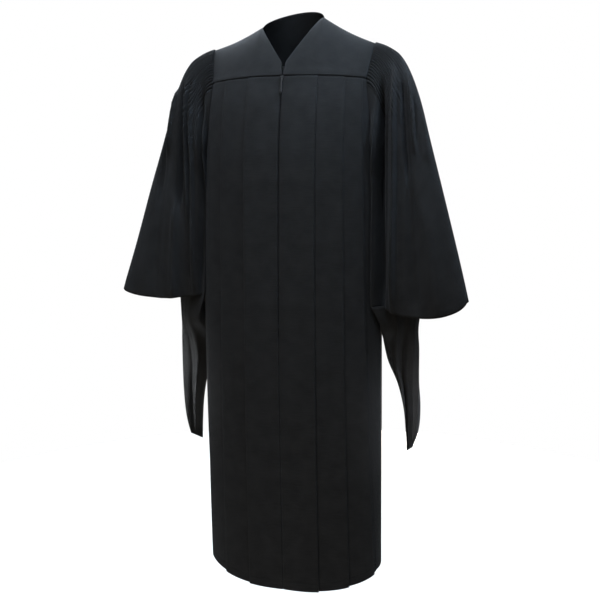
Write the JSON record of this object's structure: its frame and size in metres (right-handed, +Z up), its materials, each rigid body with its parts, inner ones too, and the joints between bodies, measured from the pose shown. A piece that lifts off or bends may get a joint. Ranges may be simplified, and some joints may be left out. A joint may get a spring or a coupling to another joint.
{
  "type": "masters graduation gown",
  "caption": "Long academic gown with pointed yoke, zip front, pressed pleats and bell sleeves that hang in closed bags behind the cuffs.",
  "frame": {"origin": "the neck base, midway between the two points where the shoulder seams meet the neck, where the wearer's shoulders hold the gown up", "axes": "+Z up, the front faces -Y, +X to the wearer's left"},
  "size_m": [0.8691, 0.2783, 1.4087],
  "materials": {
    "black_cloth": "matte black woven polyester",
    "zip_tape": "black woven tape with a moulded chain",
    "dark_metal": "black painted die-cast metal, worn bright at its edges"
  },
  "bodies": {
    "gown": {"yoke_front_left": "black_cloth", "yoke_front_right": "black_cloth", "yoke_back": "black_cloth", "front_left": "black_cloth", "front_right": "black_cloth", "back": "black_cloth", "sleeve_left": "black_cloth", "sleeve_right": "black_cloth", "zip": "zip_tape", "zip_slider": "dark_metal"},
    "pull": {"zip_pull": "dark_metal"}
  },
  "joints": [
    {"name": "pull_swing", "type": "hinge", "parent": "gown", "child": "pull", "pos_m": [0, -0.10974, -0.13763], "axis": [-1, 0, 0], "range_deg": [0, 165]}
  ]
}
